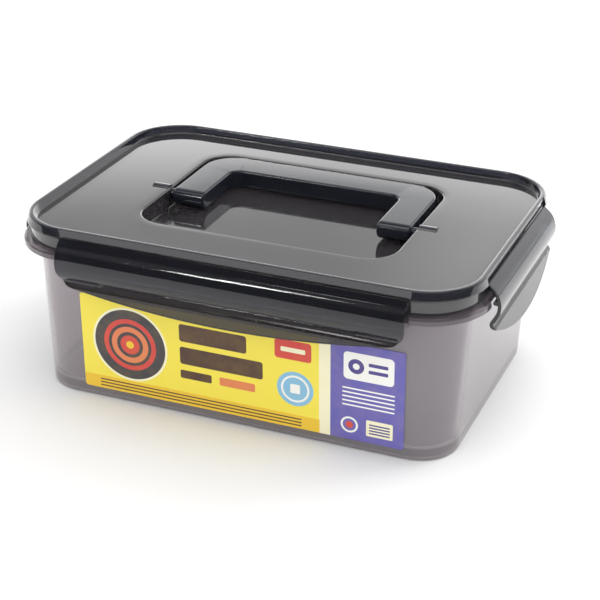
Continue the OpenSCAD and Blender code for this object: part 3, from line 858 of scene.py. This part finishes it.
def handleOutline(wall, front):
    g = grip
    outX, inX = g["armX"] - wall, g["armX"] - g["armWidth"] + wall
    back, inBack = g["back"] - wall, g["back"] - g["width"] + wall
    corner, inner = g["corner"] - wall, g["innerCorner"]
    return roundCorners([(-outX, front, 0), (-outX, back, corner), (outX, back, corner),
                         (outX, front, 0), (inX, front, 0), (inX, inBack, inner),
                         (-inX, inBack, inner), (-inX, front, 0)], steps=10)


def raisedOutline(name, points, low, high):
    return pulledOut(name, [(x, y, low) for x, y in points], (0, 0, high - low))


def makeHandle():
    g = grip
    piece = raisedOutline("carryHandle", handleOutline(0, g["front"]), g["low"], g["high"])
    low, high, past = g["low"] - g["margin"], g["high"] + g["margin"], g["back"] + g["margin"]
    end = g["front"] + g["endTaper"]
    run, drop = g["endSlope"]
    ends = [(past, low), (past, high), (end + run, high), (end + run, g["high"]), (end, g["high"] - drop)]
    ends += [tuple(p) for p in arcPoints((pivot["y"], pivot["z"]), g["endR"], 180, 265, 12)]
    ends += [(pivot["y"], g["low"] - g["trimLow"])]
    trim = pulledOut("trim", [(-g["trimX"], y, z) for y, z in ends], (2 * g["trimX"], 0, 0))
    cutWith(piece, trim, "INTERSECT")
    roundEdges(piece, g["edge"], 30, 4)
    hollow = raisedOutline("hollow", handleOutline(g["shell"], g["endR"]), g["low"] - 1,
                           g["high"] - g["shell"])
    cutWith(piece, hollow, "DIFFERENCE")
    for way in (-1, 1):
        at = lambda x: (way * x, pivot["y"], pivot["z"])
        cutWith(piece, rod(pivot["pin"], at(g["armX"] - 2), at(g["pinEnd"])), "UNION")
    finishMesh(piece, 30)
    fitPiece(piece, "handle_body", "handle", finish["handle"])


makeHandle()
print("handle made")


# Label
film = {"left": -78.3, "right": 83.7, "low": 5.2, "high": 55.5, "gap": 0.04, "thick": 0.15, "corner": 1.5}


def makeLabel():
    f = film
    lean = atan2(tub["wallTop"] - tub["base"], tub["flangeLow"] - tub["foot"])
    points = roundCorners([(f["left"], f["low"] - tub["foot"], f["corner"]),
                           (f["right"], f["low"] - tub["foot"], f["corner"]),
                           (f["right"], f["high"] - tub["foot"], f["corner"]),
                           (f["left"], f["high"] - tub["foot"], f["corner"])])
    piece = drawLine("labelFilm", [(x, -f["gap"], z) for x, z in points], True)
    editMode("FACE")
    bpy.ops.mesh.select_all(action="SELECT")
    bpy.ops.mesh.extrude_region_move(TRANSFORM_OT_translate={"value": (0, -f["thick"] * mm, 0)})
    bpy.ops.object.mode_set(mode="OBJECT")
    foot = Vector((0, -core["y"] - tub["base"], tub["foot"])) * mm
    piece.matrix_world = Matrix.Translation(foot) @ Matrix.Rotation(lean, 4, "X")
    settle(piece)
    finishMesh(piece)
    fitPiece(piece, "tub_body", "label", finish["label"])


makeLabel()
print("label made")

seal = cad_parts["seal"]
seal.data.materials.clear()
seal.data.materials.append(finish["seal"])


# Floor, lights and camera
studio = {"backdrop": (1, 1, 1, 1), "seen": 1, "onMatt": 1.05, "inGloss": 0.07,
          "floor": (0.93, 0.93, 0.93, 1), "floorSize": 8, "floorRough": 0.9}
# soft boxes painted on the surroundings, in degrees and strength:
# azimuth, elevation, half width, half height, soft width, soft height, strength
softBoxes = {"back": (-20, 8.9, 30, 10, 15, 4, 1.35), "backGlow": (-15, 25, 60, 20, 30, 20, 0.6),
             "right": (38, 8, 16, 12, 8, 6, 0.5), "rightGlow": (-11, 24, 2, 3, 8, 4, 0.45),
             "frontStripLow": (-152.6, 33, 0.9, 0.9, 0.8, 0.8, 34),
             "frontStripMid": (-153.9, 35.4, 0.9, 0.9, 0.8, 0.8, 44),
             "frontStripHigh": (-155.2, 37.9, 0.9, 0.9, 0.8, 0.8, 14),
             "ridgeStrip": (-147, 54, 3, 0.8, 2, 1.2, 6), "gripEnds": (-90, 70, 6, 4, 6, 4, 1.4),
             "frontGlow": (-154, 40, 14, 4, 14, 12, 0.25)}
# lamps: size in metres, watts, place and aim
lamps = {"topSoftbox": ((1.0, 1.0), 3, (0.1, -0.1, 1.3), (0, 0, 0.05)),
         "backFill": ((0.5, 0.5), 4, (0.6, 0.6, 0.7), (0.15, 0.15, 0))}


def addArea(name, size, power, place, aim):
    deselectAll()
    bpy.ops.object.light_add(type="AREA", location=place)
    lamp = bpy.context.object
    lamp.name = name
    lamp.data.shape = "RECTANGLE"
    lamp.data.size, lamp.data.size_y = size
    lamp.data.energy = power
    lamp.rotation_euler = (Vector(aim) - Vector(place)).to_track_quat("-Z", "Y").to_euler()
    return lamp


def makeFloor():
    deselectAll()
    bpy.ops.mesh.primitive_plane_add(size=studio["floorSize"])
    floor = bpy.context.object
    floor.name = "floor"
    material, tree = nodeTree("paleFloor")
    shader = tree.nodes["Principled BSDF"]
    shader.inputs["Base Color"].default_value = studio["floor"]
    shader.inputs["Roughness"].default_value = studio["floorRough"]
    floor.data.materials.append(material)


def makeWorld():
    # white to the eye and through clear plastic, soft boxes in reflections, plain light on matt faces
    world = bpy.data.worlds.new("studio")
    scene.world = world
    world.use_nodes = True
    tree = world.node_tree
    back = tree.nodes["Background"]
    back.inputs["Color"].default_value = studio["backdrop"]
    split = addNode(tree, "ShaderNodeSeparateXYZ")
    put(tree, split.inputs[0], addNode(tree, "ShaderNodeTexCoord").outputs["Generated"])
    turn = calc(tree, "ARCTAN2", split.outputs["X"], split.outputs["Y"])
    around = calc(tree, "MULTIPLY", turn, 180 / pi)
    above = calc(tree, "MULTIPLY", calc(tree, "ARCSINE", split.outputs["Z"]), 180 / pi)
    gloss = studio["inGloss"]
    for azimuth, elevation, wide, high, softWide, softHigh, strength in softBoxes.values():
        aside = calc(tree, "ABSOLUTE", calc(tree, "SUBTRACT", around, azimuth))
        over = calc(tree, "ABSOLUTE", calc(tree, "SUBTRACT", above, elevation))
        box = calc(tree, "MULTIPLY", remap(tree, aside, wide + softWide, wide),
                   remap(tree, over, high + softHigh, high, 0, strength))
        gloss = calc(tree, "ADD", box, gloss)
    ray = addNode(tree, "ShaderNodeLightPath").outputs
    seen = calc(tree, "MAXIMUM", ray["Is Camera Ray"], ray["Is Transmission Ray"])
    notSeen = calc(tree, "SUBTRACT", 1, seen)
    mirrored = calc(tree, "MULTIPLY", ray["Is Glossy Ray"], notSeen)
    shiny = calc(tree, "MULTIPLY", mirrored, gloss)
    matt = calc(tree, "MULTIPLY", calc(tree, "SUBTRACT", notSeen, mirrored), studio["onMatt"])
    direct = calc(tree, "MULTIPLY", seen, studio["seen"])
    put(tree, back.inputs["Strength"], calc(tree, "ADD", direct, calc(tree, "ADD", shiny, matt)))


makeFloor()
makeWorld()
addArea("topSoftbox", *lamps["topSoftbox"])
backFill = addArea("backFill", *lamps["backFill"])
backFill.visible_glossy = False  # it lights the right side and leaves no hard square on the lid

# the photograph's camera, solved from its perspective; degrees, metres and millimetres of lens
shot = {"place": (0.2782, -0.6972, 0.3905), "azimuth": 21.41, "elevation": 25.39, "roll": 0.77,
        "lens": 100.25, "sensor": 36}


def makeCamera():
    deselectAll()
    bpy.ops.object.camera_add()
    camera = bpy.context.object
    camera.data.lens = shot["lens"]
    camera.data.sensor_width = shot["sensor"]
    camera.matrix_world = (Matrix.Translation(Vector(shot["place"]))
                           @ Matrix.Rotation(radians(shot["azimuth"]), 4, "Z")
                           @ Matrix.Rotation(radians(90 - shot["elevation"]), 4, "X")
                           @ Matrix.Rotation(radians(shot["roll"]), 4, "Z"))
    scene.camera = camera


makeCamera()
scene.view_settings.view_transform = "Standard"
print("stage, lights and camera made")
